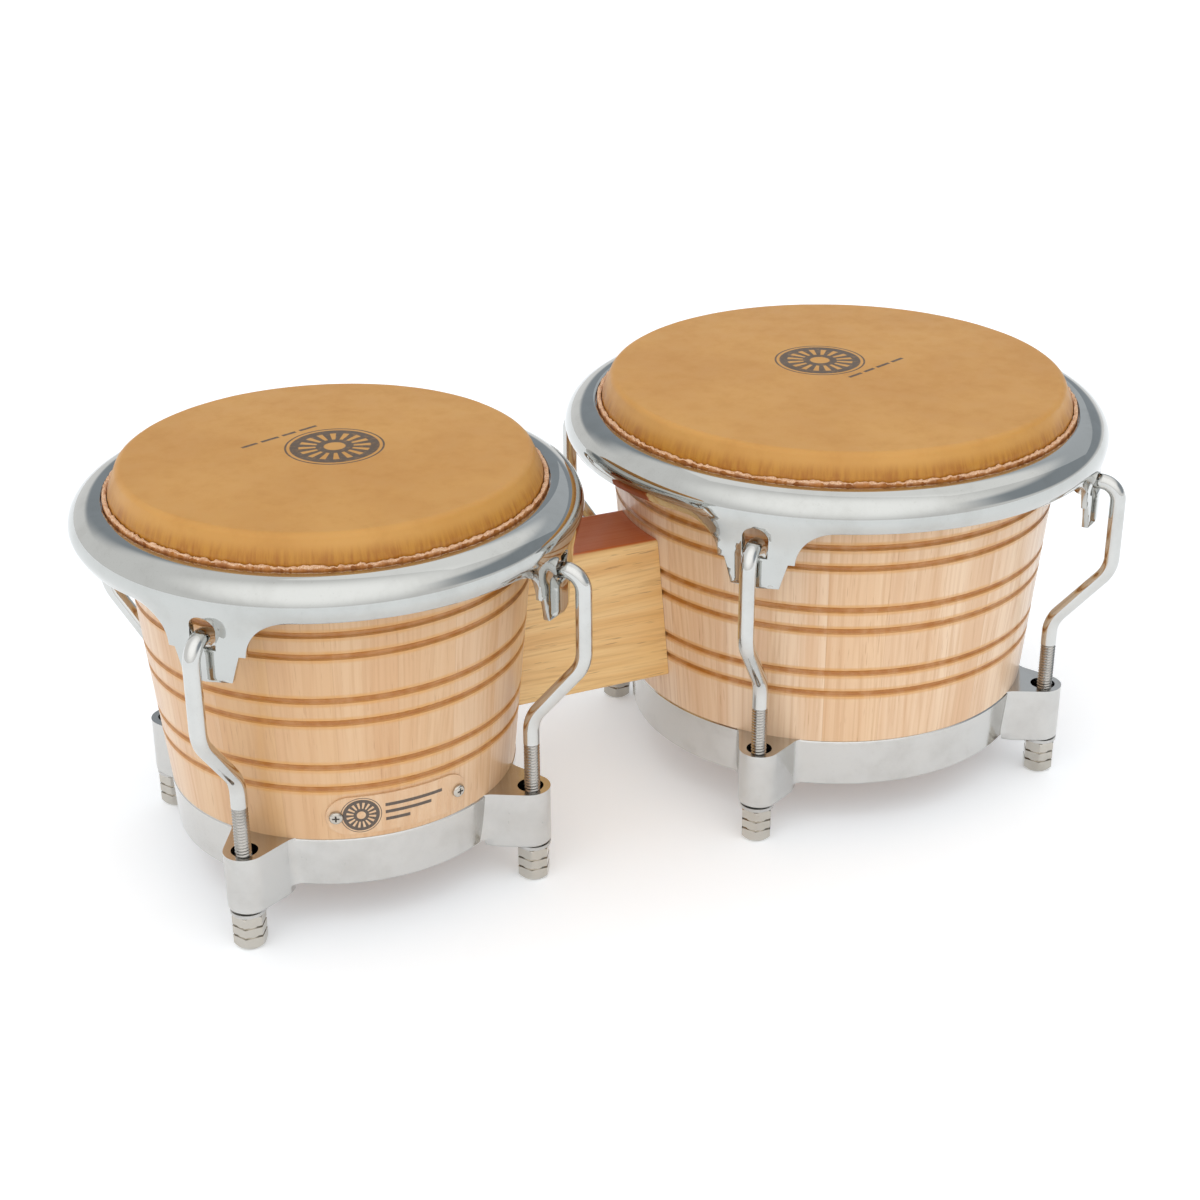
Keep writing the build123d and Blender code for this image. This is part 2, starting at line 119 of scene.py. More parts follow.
def read_drum(name):
    """Places and radii of one drum, in millimetres, from the frame's boxes."""
    skin_low, skin_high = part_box(f"{name}_skin")
    skin = (skin_high.x - skin_low.x) / 2 / MM
    return SimpleNamespace(
        name=name,
        axis=(skin_low.x + skin_high.x) / 2 / MM,
        skin=skin,
        head_top=skin_high.z / MM,
        collar=skin_low.z / MM,
        lug=skin - 0.1,
    )


small = read_drum("small")
large = read_drum("large")
drums = (small, large)


# ---- node helpers ----------------------------------------------------------
def add(tree, kind, inputs=None, **settings):
    """A node with its settings, and its inputs linked or given a value."""
    made = tree.nodes.new(kind)
    for key, value in settings.items():
        setattr(made, key, value)
    for key, value in (inputs or {}).items():
        if isinstance(value, bpy.types.NodeSocket):
            tree.links.new(value, made.inputs[key])
        else:
            made.inputs[key].default_value = value
    return made


def calc(tree, operation, *values, clamp=False):
    """Output of a Math node."""
    inputs = dict(enumerate(values))
    return add(tree, "ShaderNodeMath", inputs, operation=operation, use_clamp=clamp).outputs[0]


def span(tree, value, low, high, to_low=0.0, to_high=1.0):
    """A value mapped smoothly from low..high to another range, and clamped to it."""
    inputs = {0: value, 1: low, 2: high, 3: to_low, 4: to_high}
    return add(tree, "ShaderNodeMapRange", inputs, interpolation_type="SMOOTHSTEP").outputs[0]


def blend_colour(tree, share, first, second):
    inputs = {0: share, 6: first, 7: second}
    return add(tree, "ShaderNodeMix", inputs, data_type="RGBA").outputs[2]


def drawn_towards(tree, colour, mask, share, tone):
    """A colour drawn towards a tone by a share of a mask."""
    return blend_colour(tree, calc(tree, "MULTIPLY", mask, share), colour, tone)


def scaled(tree, vector, factors):
    inputs = {0: vector, 1: factors}
    return add(tree, "ShaderNodeVectorMath", inputs, operation="MULTIPLY").outputs[0]


def grain_noise(tree, vector, scale, detail=3.0, roughness=0.55):
    inputs = {"Vector": vector, "Scale": scale, "Detail": detail, "Roughness": roughness}
    return add(tree, "ShaderNodeTexNoise", inputs).outputs["Fac"]


def new_group(name, inputs, outputs, kind="ShaderNodeTree"):
    """An empty node group with named sockets: its tree, input node and output node."""
    tree = bpy.data.node_groups.new(name, kind)
    for label, socket, value in inputs:
        made = tree.interface.new_socket(label, in_out="INPUT", socket_type=socket)
        if value is not None:
            made.default_value = value
    for label, socket in outputs:
        tree.interface.new_socket(label, in_out="OUTPUT", socket_type=socket)
    return tree, tree.nodes.new("NodeGroupInput"), tree.nodes.new("NodeGroupOutput")


def use_group(tree, group, inputs):
    return add(tree, "ShaderNodeGroup", inputs, node_tree=group)


FLOAT = "NodeSocketFloat"
VECTOR = "NodeSocketVector"
COLOUR = "NodeSocketColor"


# ---- shared surface effects ------------------------------------------------
def make_stave_group():
    """Splits a drum's wall into upright staves and lays the grain along each."""
    tree, given, out = new_group(
        "stave layout",
        [("Vector", VECTOR, None), ("Staves", FLOAT, 20.0), ("Radius", FLOAT, 0.09)],
        [("Board", VECTOR), ("Tone", FLOAT), ("Glue Line", FLOAT)],
    )
    parts = add(tree, "ShaderNodeSeparateXYZ", {0: given.outputs["Vector"]})
    angle = calc(tree, "ARCTAN2", parts.outputs[1], parts.outputs[0])
    share = calc(tree, "DIVIDE", angle, TURN)
    place = calc(tree, "MULTIPLY", share, given.outputs["Staves"])
    number = calc(tree, "FLOOR", place)
    across = calc(tree, "FRACT", place)
    random = add(tree, "ShaderNodeTexWhiteNoise", {"W": number}, noise_dimensions="1D")
    from_edge = calc(tree, "MINIMUM", across, calc(tree, "SUBTRACT", 1.0, across))
    arc = calc(tree, "MULTIPLY", angle, given.outputs["Radius"])
    level = scaled(tree, given.outputs["Vector"], (0.1, 0.1, 0.0))
    depth = add(tree, "ShaderNodeVectorMath", {0: level}, operation="LENGTH").outputs[1]
    unrolled = add(tree, "ShaderNodeCombineXYZ", {0: arc, 1: depth, 2: parts.outputs[2]})
    shift = scaled(tree, random.outputs["Color"], (3.0, 5.0, 7.0))
    board = add(
        tree, "ShaderNodeVectorMath", {0: unrolled.outputs[0], 1: shift}, operation="ADD"
    )
    tree.links.new(board.outputs[0], out.inputs["Board"])
    tree.links.new(random.outputs["Value"], out.inputs["Tone"])
    tree.links.new(span(tree, from_edge, 0.0, 0.012, 1.0, 0.0), out.inputs["Glue Line"])
    return tree


def make_figure_group():
    """Wood figure for grain that runs along Z: broad bands, fibres and pores."""
    tree, given, out = new_group(
        "wood figure",
        [("Vector", VECTOR, None), ("Band Scale", FLOAT, 70.0), ("Fibre Scale", FLOAT, 900.0)],
        [("Bands", FLOAT), ("Fibres", FLOAT), ("Pores", FLOAT)],
    )
    vector = given.outputs["Vector"]
    waved = grain_noise(tree, scaled(tree, vector, (1.0, 1.0, 0.25)), 18.0, 1.0)
    sway = calc(tree, "MULTIPLY", waved, 0.02)
    bent = add(tree, "ShaderNodeVectorMath", {0: vector, 1: sway}, operation="ADD").outputs[0]
    bands = grain_noise(
        tree, scaled(tree, bent, (1.0, 1.0, 0.045)), given.outputs["Band Scale"], 4.0, 0.6
    )
    fibres = grain_noise(
        tree, scaled(tree, bent, (1.0, 1.0, 0.02)), given.outputs["Fibre Scale"], 2.0, 0.6
    )
    pores = grain_noise(tree, scaled(tree, vector, (1.0, 1.0, 0.05)), 1500.0, 1.0)
    tree.links.new(bands, out.inputs["Bands"])
    tree.links.new(fibres, out.inputs["Fibres"])
    tree.links.new(span(tree, pores, 0.66, 0.74), out.inputs["Pores"])
    return tree


def make_plating_group():
    """Faint unevenness of plated metal: haze, fine specks and a slow ripple."""
    tree, given, out = new_group(
        "plated surface",
        [
            ("Vector", VECTOR, None),
            ("Tint", COLOUR, (0.8, 0.8, 0.8, 1.0)),
            ("Shade", COLOUR, (0.7, 0.7, 0.7, 1.0)),
            ("Gloss", FLOAT, 0.06),
            ("Haze", FLOAT, 0.1),
        ],
        [("Colour", COLOUR), ("Roughness", FLOAT), ("Height", FLOAT)],
    )
    vector = given.outputs["Vector"]
    cloud = grain_noise(tree, vector, 45.0, 4.0, 0.6)
    specks = grain_noise(tree, vector, 900.0, 2.0, 0.6)
    haze = span(tree, cloud, 0.42, 0.72)
    dust = span(tree, specks, 0.62, 0.72)
    shade = calc(tree, "MULTIPLY_ADD", dust, 0.25, calc(tree, "MULTIPLY", haze, 0.5))
    colour = blend_colour(tree, shade, given.outputs["Tint"], given.outputs["Shade"])
    rough = calc(tree, "MULTIPLY_ADD", haze, given.outputs["Haze"], given.outputs["Gloss"])
    rough = calc(tree, "MULTIPLY_ADD", dust, 0.05, rough)
    tree.links.new(colour, out.inputs["Colour"])
    tree.links.new(rough, out.inputs["Roughness"])
    tree.links.new(grain_noise(tree, vector, 60.0, 2.0, 0.5), out.inputs["Height"])
    return tree


def make_mark_group():
    """A plain printed mark: a sunburst left clear in an inked disc, inside a thin ring."""
    tree, given, out = new_group(
        "printed sunburst",
        [("U", FLOAT, 0.0), ("V", FLOAT, 0.0), ("Size", FLOAT, 0.02)],
        [("Ink", FLOAT)],
    )
    u = calc(tree, "DIVIDE", given.outputs["U"], given.outputs["Size"])
    v = calc(tree, "DIVIDE", given.outputs["V"], given.outputs["Size"])
    reach = calc(tree, "SQRT", calc(tree, "MULTIPLY_ADD", u, u, calc(tree, "MULTIPLY", v, v)))
    disc = span(tree, reach, 0.88, 0.90, 1.0, 0.0)
    ring = calc(
        tree,
        "MULTIPLY",
        span(tree, reach, 0.945, 0.96),
        span(tree, reach, 0.985, 1.0, 1.0, 0.0),
    )
    turn = calc(tree, "DIVIDE", calc(tree, "ARCTAN2", v, u), TURN)
    spoke = calc(tree, "FRACT", calc(tree, "MULTIPLY", turn, 16.0))
    ray = span(tree, calc(tree, "ABSOLUTE", calc(tree, "SUBTRACT", spoke, 0.5)), 0.2, 0.25, 1.0, 0.0)
    band = calc(
        tree, "MULTIPLY", span(tree, reach, 0.36, 0.39), span(tree, reach, 0.70, 0.73, 1.0, 0.0)
    )
    core = span(tree, reach, 0.20, 0.23, 1.0, 0.0)
    rays = calc(tree, "MAXIMUM", calc(tree, "MULTIPLY", ray, band), core)
    ink = calc(tree, "MAXIMUM", calc(tree, "SUBTRACT", disc, rays, clamp=True), ring)
    tree.links.new(ink, out.inputs["Ink"])
    return tree


def make_bar_group():
    """One plain printed bar, given its middle and its half width and height."""
    tree, given, out = new_group(
        "printed bar",
        [
            ("U", FLOAT, 0.0),
            ("V", FLOAT, 0.0),
            ("Middle U", FLOAT, 0.0),
            ("Middle V", FLOAT, 0.0),
            ("Half Width", FLOAT, 0.01),
            ("Half Height", FLOAT, 0.001),
        ],
        [("Ink", FLOAT)],
    )
    ink = []
    for axis, half in (("U", "Half Width"), ("V", "Half Height")):
        off = calc(tree, "SUBTRACT", given.outputs[axis], given.outputs[f"Middle {axis}"])
        past = calc(tree, "SUBTRACT", calc(tree, "ABSOLUTE", off), given.outputs[half])
        ink.append(span(tree, past, -0.0001, 0.0001, 1.0, 0.0))
    tree.links.new(calc(tree, "MULTIPLY", *ink), out.inputs["Ink"])
    return tree


stave_group = make_stave_group()
figure_group = make_figure_group()
plating_group = make_plating_group()
mark_group = make_mark_group()
bar_group = make_bar_group()


# ---- materials -------------------------------------------------------------
def new_material(name):
    """A material with its tree, its Principled shader and its Object coordinates."""
    material = bpy.data.materials.new(name)
    material.use_nodes = True
    tree = material.node_tree
    shader = tree.nodes["Principled BSDF"]
    place = tree.nodes.new("ShaderNodeTexCoord").outputs["Object"]
    return material, tree, shader, place


def give(tree, shader, **sockets):
    """Sets or links sockets of the Principled shader, underscores standing for spaces."""
    for key, value in sockets.items():
        socket = shader.inputs[key.replace("_", " ")]
        if isinstance(value, bpy.types.NodeSocket):
            tree.links.new(value, socket)
        else:
            socket.default_value = value


def bump(tree, height, distance, strength):
    inputs = {"Height": height, "Distance": distance, "Strength": strength}
    return add(tree, "ShaderNodeBump", inputs).outputs[0]


def centred(tree, place, x, y=0.0, z=0.0):
    """Object coordinates with the given point as their origin."""
    inputs = {0: place, 1: (x, y, z)}
    return add(tree, "ShaderNodeVectorMath", inputs, operation="SUBTRACT").outputs[0]


def printed_ink(tree, u, v, mark_u, mark_size, bars, bar_half):
    """Mask of the printed mark and its bars, each bar a middle u, v and a half width in mm."""
    from_mark = calc(tree, "SUBTRACT", u, mark_u * MM)
    mark = use_group(tree, mark_group, {"U": from_mark, "V": v, "Size": mark_size * MM})
    ink = mark.outputs["Ink"]
    for middle_u, middle_v, half_width in bars:
        sizes = {
            "Middle U": middle_u * MM,
            "Middle V": middle_v * MM,
            "Half Width": half_width * MM,
            "Half Height": bar_half * MM,
        }
        bar = use_group(tree, bar_group, {"U": u, "V": v} | sizes)
        ink = calc(tree, "MAXIMUM", ink, bar.outputs["Ink"])
    return ink


def rgb(red, green, blue):
    """Linear colour from the 0..255 values that a paint maker gives."""
    def linear(c):
        c /= 255
        return c / 12.92 if c <= 0.04045 else ((c + 0.055) / 1.055) ** 2.4

    return (linear(red), linear(green), linear(blue), 1.0)


def lacquered_staves(drum, staves, light, dark):
    """Pale upright staves under satin lacquer, golden brown in the turned grooves: partly burn line,
    partly painted shade.
    """
    material, tree, shader, place = new_material(f"lacquered_staves_{drum.name}")
    layout = use_group(
        tree,
        stave_group,
        {
            "Vector": centred(tree, place, drum.axis * MM),
            "Staves": float(staves),
            "Radius": drum.skin * MM,
        },
    )
    figure = use_group(
        tree, figure_group, {"Vector": layout.outputs["Board"], "Fibre Scale": 520.0}
    )
    colour = blend_colour(tree, layout.outputs["Tone"], light, dark)
    bands = span(tree, figure.outputs["Bands"], 0.35, 0.7)
    colour = drawn_towards(tree, colour, bands, 0.6, rgb(208, 160, 114))
    fibres = span(tree, figure.outputs["Fibres"], 0.4, 0.75)
    colour = drawn_towards(tree, colour, fibres, 0.38, rgb(190, 140, 94))
    colour = drawn_towards(tree, colour, figure.outputs["Pores"], 0.35, rgb(170, 118, 76))
    colour = drawn_towards(tree, colour, layout.outputs["Glue Line"], 0.3, rgb(178, 128, 84))
    height = add(tree, "ShaderNodeSeparateXYZ", {0: place}).outputs[2]
    nearest = 1.0
    for groove in GROOVE_HEIGHTS:
        off = calc(tree, "ABSOLUTE", calc(tree, "SUBTRACT", height, groove * MM))
        nearest = calc(tree, "MINIMUM", nearest, off)
    # The grooves' golden band and darker core are partly the turned burn line and partly painted
    # shade in the recess, unevenly strong.
    patchy_share = span(tree, grain_noise(tree, place, 160.0), 0.3, 0.7, 0.6, 0.95)
    for reach, share, groove_tone in (
        (0.0034, 0.8, rgb(212, 154, 78)),
        (0.0014, 1.0, rgb(172, 106, 30)),
    ):
        groove_burn_and_shade = span(tree, nearest, reach * 0.6, reach, share, 0.0)
        colour = drawn_towards(tree, colour, groove_burn_and_shade, patchy_share, groove_tone)
    relief = calc(tree, "MULTIPLY_ADD", figure.outputs["Pores"], -0.6, figure.outputs["Fibres"])
    give(
        tree,
        shader,
        Base_Color=colour,
        Roughness=span(tree, figure.outputs["Fibres"], 0.3, 0.8, 0.30, 0.42),
        Normal=bump(tree, relief, 0.00004, 0.5),
        Coat_Weight=0.25,
        Coat_Roughness=0.12,
    )
    return material


def lacquered_block():
    """The centre block: straight grain along X, and painted shade in reddish brown on its top face.
    """
    material, tree, shader, place = new_material("lacquered_block")
    parts = add(tree, "ShaderNodeSeparateXYZ", {0: place})
    board = add(
        tree,
        "ShaderNodeCombineXYZ",
        {0: parts.outputs[1], 1: parts.outputs[2], 2: parts.outputs[0]},
    ).outputs[0]
    figure = use_group(
        tree, figure_group, {"Vector": board, "Band Scale": 95.0, "Fibre Scale": 800.0}
    )
    bands = span(tree, figure.outputs["Bands"], 0.3, 0.72)
    colour = blend_colour(tree, bands, rgb(240, 202, 138), rgb(224, 172, 102))
    fibres = span(tree, figure.outputs["Fibres"], 0.4, 0.8)
    colour = drawn_towards(tree, colour, fibres, 0.4, rgb(178, 122, 62))
    colour = drawn_towards(tree, colour, figure.outputs["Pores"], 0.5, rgb(136, 84, 40))
    # Painted shade: faces that point up are drawn towards reddish brown.
    facing = tree.nodes.new("ShaderNodeNewGeometry").outputs["Normal"]
    top_face_shade = span(tree, add(tree, "ShaderNodeSeparateXYZ", {0: facing}).outputs[2], 0.6, 0.9)
    colour = drawn_towards(tree, colour, top_face_shade, 0.8, rgb(206, 84, 26))
    relief = calc(tree, "MULTIPLY_ADD", figure.outputs["Pores"], -0.6, figure.outputs["Fibres"])
    give(
        tree,
        shader,
        Base_Color=colour,
        Roughness=span(tree, figure.outputs["Fibres"], 0.3, 0.8, 0.32, 0.45),
        Normal=bump(tree, relief, 0.00005, 0.5),
        Coat_Weight=0.25,
        Coat_Roughness=0.15,
    )
    return material


def plated(name, tint, shade, gloss, haze):
    """Bright plated metal with a faint haze and ripple."""
    material, tree, shader, place = new_material(name)
    surface = use_group(
        tree,
        plating_group,
        {"Vector": place, "Tint": tint, "Shade": shade, "Gloss": gloss, "Haze": haze},
    )
    give(
        tree,
        shader,
        Base_Color=surface.outputs["Colour"],
        Roughness=surface.outputs["Roughness"],
        Metallic=1.0,
        Normal=bump(tree, surface.outputs["Height"], 0.00002, 0.6),
    )
    return material


def rawhide(drum, mark_centre, mark_turn):
    """Tan rawhide: mottled on top, amber and streaked down the side, with a plain mark."""
    material, tree, shader, place = new_material(f"rawhide_{drum.name}")
    hide = centred(tree, place, drum.axis * MM, 0.0, drum.head_top * MM)
    parts = add(tree, "ShaderNodeSeparateXYZ", {0: hide})
    cloud = grain_noise(tree, hide, 14.0, 3.0, 0.55)
    mottle = grain_noise(tree, hide, 70.0, 5.0, 0.65)
    pebble = grain_noise(tree, hide, 1100.0, 3.0, 0.6)
    colour = blend_colour(
        tree, span(tree, cloud, 0.3, 0.7), rgb(205, 151, 75), rgb(196, 140, 64)
    )
    colour = drawn_towards(tree, colour, span(tree, mottle, 0.45, 0.75), 0.22, rgb(172, 116, 46))
    angle = calc(tree, "ARCTAN2", parts.outputs[1], parts.outputs[0])
    drop = calc(tree, "MULTIPLY", parts.outputs[2], 1.5)
    round_side = add(tree, "ShaderNodeCombineXYZ", {0: angle, 2: drop})
    streaks = grain_noise(tree, round_side.outputs[0], 42.0, 4.0, 0.6)
    side = span(tree, parts.outputs[2], -0.0035, -0.0095)
    amber = blend_colour(
        tree, span(tree, streaks, 0.35, 0.7), rgb(190, 132, 42), rgb(168, 105, 27)
    )
    colour = blend_colour(tree, side, colour, amber)
    u0, v0 = mark_centre
    off_u = calc(tree, "SUBTRACT", parts.outputs[0], u0 * MM)
    off_v = calc(tree, "SUBTRACT", parts.outputs[1], v0 * MM)
    cosine, sine = math.cos(mark_turn), math.sin(mark_turn)
    u = calc(tree, "MULTIPLY_ADD", off_u, cosine, calc(tree, "MULTIPLY", off_v, sine))
    v = calc(tree, "MULTIPLY_ADD", off_v, cosine, calc(tree, "MULTIPLY", off_u, -sine))
    bars = [(-4.5, -25.5, 4.5), (5.5, -25.5, 3.5), (15.5, -25.5, 4.5), (26.0, -25.5, 4.0)]
    ink = printed_ink(tree, u, v, 0.0, 21.5, bars, 0.9)
    patchy_share = span(tree, grain_noise(tree, hide, 500.0, 3.0), 0.3, 0.5, 0.72, 0.9)
    relief = calc(tree, "MULTIPLY_ADD", mottle, 2.0, pebble)
    give(
        tree,
        shader,
        Base_Color=drawn_towards(tree, colour, ink, patchy_share, rgb(58, 54, 52)),
        Roughness=span(tree, mottle, 0.3, 0.7, 0.40, 0.52),
        Normal=bump(tree, relief, 0.00006, 0.5),
        Subsurface_Weight=0.08,
        Subsurface_Radius=(0.004, 0.002, 0.0008),
        Subsurface_Scale=0.5,
    )
    return material


def cut_hide():
    """The trimmed edge of the hide: pale and fibrous on the cut, amber on the side."""
    material, tree, shader, place = new_material("cut_hide")
    facing = tree.nodes.new("ShaderNodeNewGeometry").outputs["Normal"]
    cut = span(tree, add(tree, "ShaderNodeSeparateXYZ", {0: facing}).outputs[2], 0.15, 0.6)
    fibres = grain_noise(tree, place, 1800.0, 4.0, 0.7)
    patches = grain_noise(tree, place, 220.0, 3.0, 0.6)
    pale = blend_colour(tree, span(tree, fibres, 0.3, 0.7), rgb(238, 204, 172), rgb(196, 142, 96))
    amber = blend_colour(tree, span(tree, patches, 0.3, 0.7), rgb(190, 120, 50), rgb(150, 84, 30))
    give(
        tree,
        shader,
        Base_Color=blend_colour(tree, cut, amber, pale),
        Roughness=span(tree, fibres, 0.2, 0.8, 0.55, 0.8),
        Normal=bump(tree, fibres, 0.0002, 0.7),
    )
    return material


def badge_print():
    """Clear-lacquered plate in the wood's own tone with a dark printed disc and bars."""
    material, tree, shader, place = new_material("badge_print")
    spot = centred(tree, place, small.axis * MM, 0.0, BADGE_HEIGHT * MM)
    parts = add(tree, "ShaderNodeSeparateXYZ", {0: spot})
    facing = calc(tree, "ARCTAN2", parts.outputs[0], calc(tree, "MULTIPLY", parts.outputs[1], -1.0))
    u = calc(tree, "MULTIPLY", facing, BADGE_RADIUS * MM)
    grain = grain_noise(tree, scaled(tree, place, (1.0, 1.0, 0.06)), 300.0, 3.0)
    colour = blend_colour(tree, span(tree, grain, 0.3, 0.7), rgb(220, 184, 146), rgb(210, 168, 126))
    bars = [(6.2, 3.6, 13.0), (3.6, 0.0, 10.4), (-1.3, -3.6, 5.4)]
    ink = printed_ink(tree, u, parts.outputs[2], -17.1, 8.8, bars, 0.8)
    give(
        tree,
        shader,
        Base_Color=drawn_towards(tree, colour, ink, 0.92, rgb(48, 40, 36)),
        Roughness=span(tree, grain, 0.3, 0.7, 0.22, 0.3),
        Coat_Weight=0.5,
        Coat_Roughness=0.05,
    )
    return material


def recessed_screw():
    """Nickelled screw heads with a cross-shaped recess in the middle of each, bumped in and darkened
    with painted shade.
    """
    material, tree, shader, place = new_material("recessed_screw")
    spot = centred(tree, place, small.axis * MM, 0.0, BADGE_HEIGHT * MM)
    parts = add(tree, "ShaderNodeSeparateXYZ", {0: spot})
    side = calc(tree, "ABSOLUTE", parts.outputs[0])
    cosine, sine = math.cos(SCREW_ANGLE), math.sin(SCREW_ANGLE)
    u = calc(tree, "MULTIPLY_ADD", side, cosine, calc(tree, "MULTIPLY", parts.outputs[1], sine))
    v = parts.outputs[2]
    cross = 0.0
    for half_width, half_height in ((1.5, 0.32), (0.32, 1.5)):
        arm = use_group(
            tree,
            bar_group,
            {"U": u, "V": v, "Half Width": half_width * MM, "Half Height": half_height * MM},
        )
        cross = calc(tree, "MAXIMUM", cross, arm.outputs["Ink"])
    surface = use_group(
        tree,
        plating_group,
        {
            "Vector": place,
            "Tint": rgb(196, 190, 180),
            "Shade": rgb(164, 158, 148),
            "Gloss": 0.16,
            "Haze": 0.12,
        },
    )
    relief = calc(tree, "SUBTRACT", surface.outputs["Height"], cross)
    give(
        tree,
        shader,
        # The dark colour in the cross is painted shade in the recess.
        Base_Color=blend_colour(tree, cross, surface.outputs["Colour"], rgb(58, 54, 50)),
        Roughness=surface.outputs["Roughness"],
        Metallic=1.0,
        Normal=bump(tree, relief, 0.0003, 0.8),
    )
    return material


stave_wood = {
    "small": lacquered_staves(small, 20, rgb(224, 192, 158), rgb(212, 168, 118)),
    "large": lacquered_staves(large, 24, rgb(236, 210, 182), rgb(227, 191, 152)),
}
hide = {
    "small": rawhide(small, (5.0, 3.5), math.radians(199)),
    "large": rawhide(large, (0.0, 15.5), math.radians(20)),
}
block_wood = lacquered_block()
rim_chrome = plated("rim_chrome_plate", rgb(196, 197, 194), rgb(180, 180, 176), 0.03, 0.04)
ring_chrome = plated("ring_chrome_plate", rgb(204, 203, 200), rgb(186, 184, 180), 0.14, 0.10)
hook_chrome = plated("hook_chrome_plate", rgb(208, 208, 205), rgb(190, 189, 185), 0.07, 0.07)
nut_chrome = plated("nut_chrome_plate", rgb(196, 191, 182), rgb(168, 162, 152), 0.10, 0.08)
thread_steel = plated("thread_steel", rgb(178, 175, 170), rgb(134, 131, 126), 0.22, 0.14)
plain_steel = plated("plain_steel", rgb(196, 195, 192), rgb(164, 162, 158), 0.28, 0.14)
zinc = plated("zinc_plate", rgb(206, 206, 204), rgb(176, 175, 170), 0.26, 0.16)
screw_nickel = recessed_screw()
trimmed_hide = cut_hide()
badge_plate = badge_print()

frame_finish = {
    "badge_plate": badge_plate,
    "centre_block": block_wood,
    "badge_screw_left": screw_nickel,
    "badge_screw_right": screw_nickel,
}
for drum in drums:
    frame_finish |= {
        f"{drum.name}_shell": stave_wood[drum.name],
        f"{drum.name}_skin": hide[drum.name],
        f"{drum.name}_rim": rim_chrome,
        f"{drum.name}_bottom_ring": ring_chrome,
        f"{drum.name}_flesh_hoop": plain_steel,
    }
    for place in ("lower", "upper"):
        frame_finish[f"{drum.name}_block_bolt_{place}"] = zinc
        frame_finish[f"{drum.name}_bolt_washer_{place}"] = zinc
    for number in range(1, 5):
        frame_finish[f"{drum.name}_tuning_hook_{number}"] = hook_chrome
        frame_finish[f"{drum.name}_tuning_nut_{number}"] = nut_chrome
        frame_finish[f"{drum.name}_lug_washer_{number}"] = plain_steel
for node_name, finish in frame_finish.items():
    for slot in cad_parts[node_name].material_slots:
        slot.material = finish


# ---- pieces made by geometry nodes -----------------------------------------
GEOMETRY = "NodeSocketGeometry"


def joined(tree, *pieces):
    join = add(tree, "GeometryNodeJoinGeometry")
    for piece in pieces:
        tree.links.new(piece, join.inputs[0])
    return join.outputs[0]


def shifted(tree, geometry, shift, **turn):
    """Geometry moved by the X, Y or Z given in shift, and turned."""
    offset = add(tree, "ShaderNodeCombineXYZ", shift).outputs[0]
    inputs = {"Geometry": geometry, "Translation": offset} | turn
    return add(tree, "GeometryNodeTransform", inputs).outputs[0]


def swept(tree, curve, profile):
    """A capped solid of a profile curve swept along a curve."""
    inputs = {"Curve": curve, "Profile Curve": profile, "Fill Caps": True}
    return add(tree, "GeometryNodeCurveToMesh", inputs).outputs[0]


def dressed(tree, geometry, material, **selection):
    inputs = {"Geometry": geometry, "Material": material} | selection
    return add(tree, "GeometryNodeSetMaterial", inputs).outputs[0]


def make_turned_group():
    """Turns a profile about a drum's axis and makes its upper part a little uneven."""
    tree, given, out = new_group(
        "turned hide",
        [
            ("Profile", GEOMETRY, None),
            ("Radius", FLOAT, 0.09),
            ("Steps", "NodeSocketInt", 192),
            ("Axis X", FLOAT, 0.0),
            ("Level", FLOAT, 0.1),
            ("Fade", FLOAT, 0.001),
            ("Uneven", FLOAT, 0.0003),
            ("Scale", FLOAT, 60.0),
            ("Seed", FLOAT, 0.0),
            ("Material", "NodeSocketMaterial", None),
        ],
        [("Geometry", GEOMETRY)],
        "GeometryNodeTree",
    )
    outline = add(tree, "GeometryNodeMeshToCurve", {0: given.outputs["Profile"]})
    ring = add(
        tree,
        "GeometryNodeCurvePrimitiveCircle",
        {"Resolution": given.outputs["Steps"], "Radius": given.outputs["Radius"]},
    )
    turned = add(
        tree,
        "GeometryNodeCurveToMesh",
        {"Curve": ring.outputs[0], "Profile Curve": outline.outputs[0]},
    )
    whole = add(
        tree, "GeometryNodeMergeByDistance", {"Geometry": turned.outputs[0], "Distance": 0.00001}
    )
    place = tree.nodes.new("GeometryNodeInputPosition").outputs[0]
    height = add(tree, "ShaderNodeSeparateXYZ", {0: place}).outputs[2]
    wave = add(
        tree,
        "ShaderNodeTexNoise",
        {
            "Vector": place,
            "W": given.outputs["Seed"],
            "Scale": given.outputs["Scale"],
            "Detail": 4.0,
        },
        noise_dimensions="4D",
    ).outputs[0]
    top = calc(tree, "ADD", given.outputs["Level"], given.outputs["Fade"])
    share = span(tree, height, given.outputs["Level"], top)
    lift = calc(tree, "MULTIPLY", calc(tree, "SUBTRACT", wave, 0.5), given.outputs["Uneven"])
    offset = add(
        tree,
        "ShaderNodeCombineXYZ",
        {0: given.outputs["Axis X"], 2: calc(tree, "MULTIPLY", lift, share)},
    )
    moved = add(
        tree,
        "GeometryNodeSetPosition",
        {"Geometry": whole.outputs[0], "Offset": offset.outputs[0]},
    )
    single = add(tree, "GeometryNodeRealizeInstances", {"Geometry": moved.outputs[0]})
    tree.links.new(dressed(tree, single.outputs[0], given.outputs["Material"]), out.inputs[0])
    return tree


